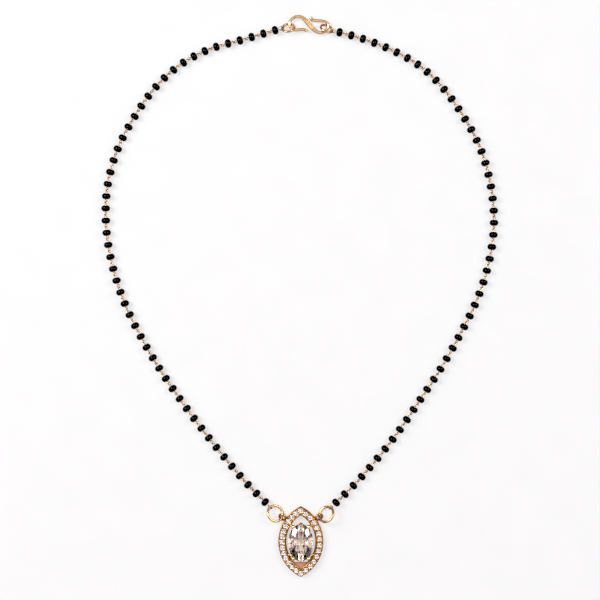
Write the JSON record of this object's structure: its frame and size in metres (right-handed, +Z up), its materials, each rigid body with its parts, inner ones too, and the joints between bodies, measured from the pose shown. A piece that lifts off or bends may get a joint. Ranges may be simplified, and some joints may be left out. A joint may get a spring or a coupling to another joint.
{
  "type": "mangalsutra",
  "caption": "Black bead necklace worn round the neck, with a pointed oval halo pendant set with clear stones and an S hook clasp, lying open on a surface.",
  "frame": {"origin": "on the surface that the necklace lies on, under the middle of its box", "axes": "+Z up from the surface, +Y from the pendant towards the hook, +X to the right seen from above with the hook at the top"},
  "size_m": [0.135, 0.1912, 0.005],
  "materials": {
    "black_glass_beads": "glossy opaque black glass",
    "gold_plated_pins": "drawn brass wire, gold plated",
    "gold_plated_setting": "cast brass, gold plated and polished",
    "gold_plated_rings": "polished brass wire, gold plated",
    "clear_stones": "faceted clear cubic zirconia"
  },
  "bodies": {
    "root": {"black_beads_left": "black_glass_beads", "black_beads_right": "black_glass_beads", "bead_pins_left": "gold_plated_pins", "bead_pins_right": "gold_plated_pins", "pendant_frame": "gold_plated_setting", "centre_stone": "clear_stones", "halo_stone_01": "clear_stones", "halo_stone_02": "clear_stones", "halo_stone_03": "clear_stones", "halo_stone_04": "clear_stones", "halo_stone_05": "clear_stones", "halo_stone_06": "clear_stones", "halo_stone_07": "clear_stones", "halo_stone_08": "clear_stones", "halo_stone_09": "clear_stones", "halo_stone_10": "clear_stones", "halo_stone_11": "clear_stones", "halo_stone_12": "clear_stones", "halo_stone_13": "clear_stones", "halo_stone_14": "clear_stones", "halo_stone_15": "clear_stones", "halo_stone_16": "clear_stones", "halo_stone_17": "clear_stones", "halo_stone_18": "clear_stones", "halo_stone_19": "clear_stones", "halo_stone_20": "clear_stones", "halo_stone_21": "clear_stones", "halo_stone_22": "clear_stones", "halo_stone_23": "clear_stones", "halo_stone_24": "clear_stones", "halo_stone_25": "clear_stones", "halo_stone_26": "clear_stones", "halo_stone_27": "clear_stones", "jump_ring_left": "gold_plated_rings", "jump_ring_right": "gold_plated_rings", "clasp_ring_left": "gold_plated_rings", "clasp_ring_right": "gold_plated_rings", "s_hook": "gold_plated_rings"}
  },
  "joints": []
}
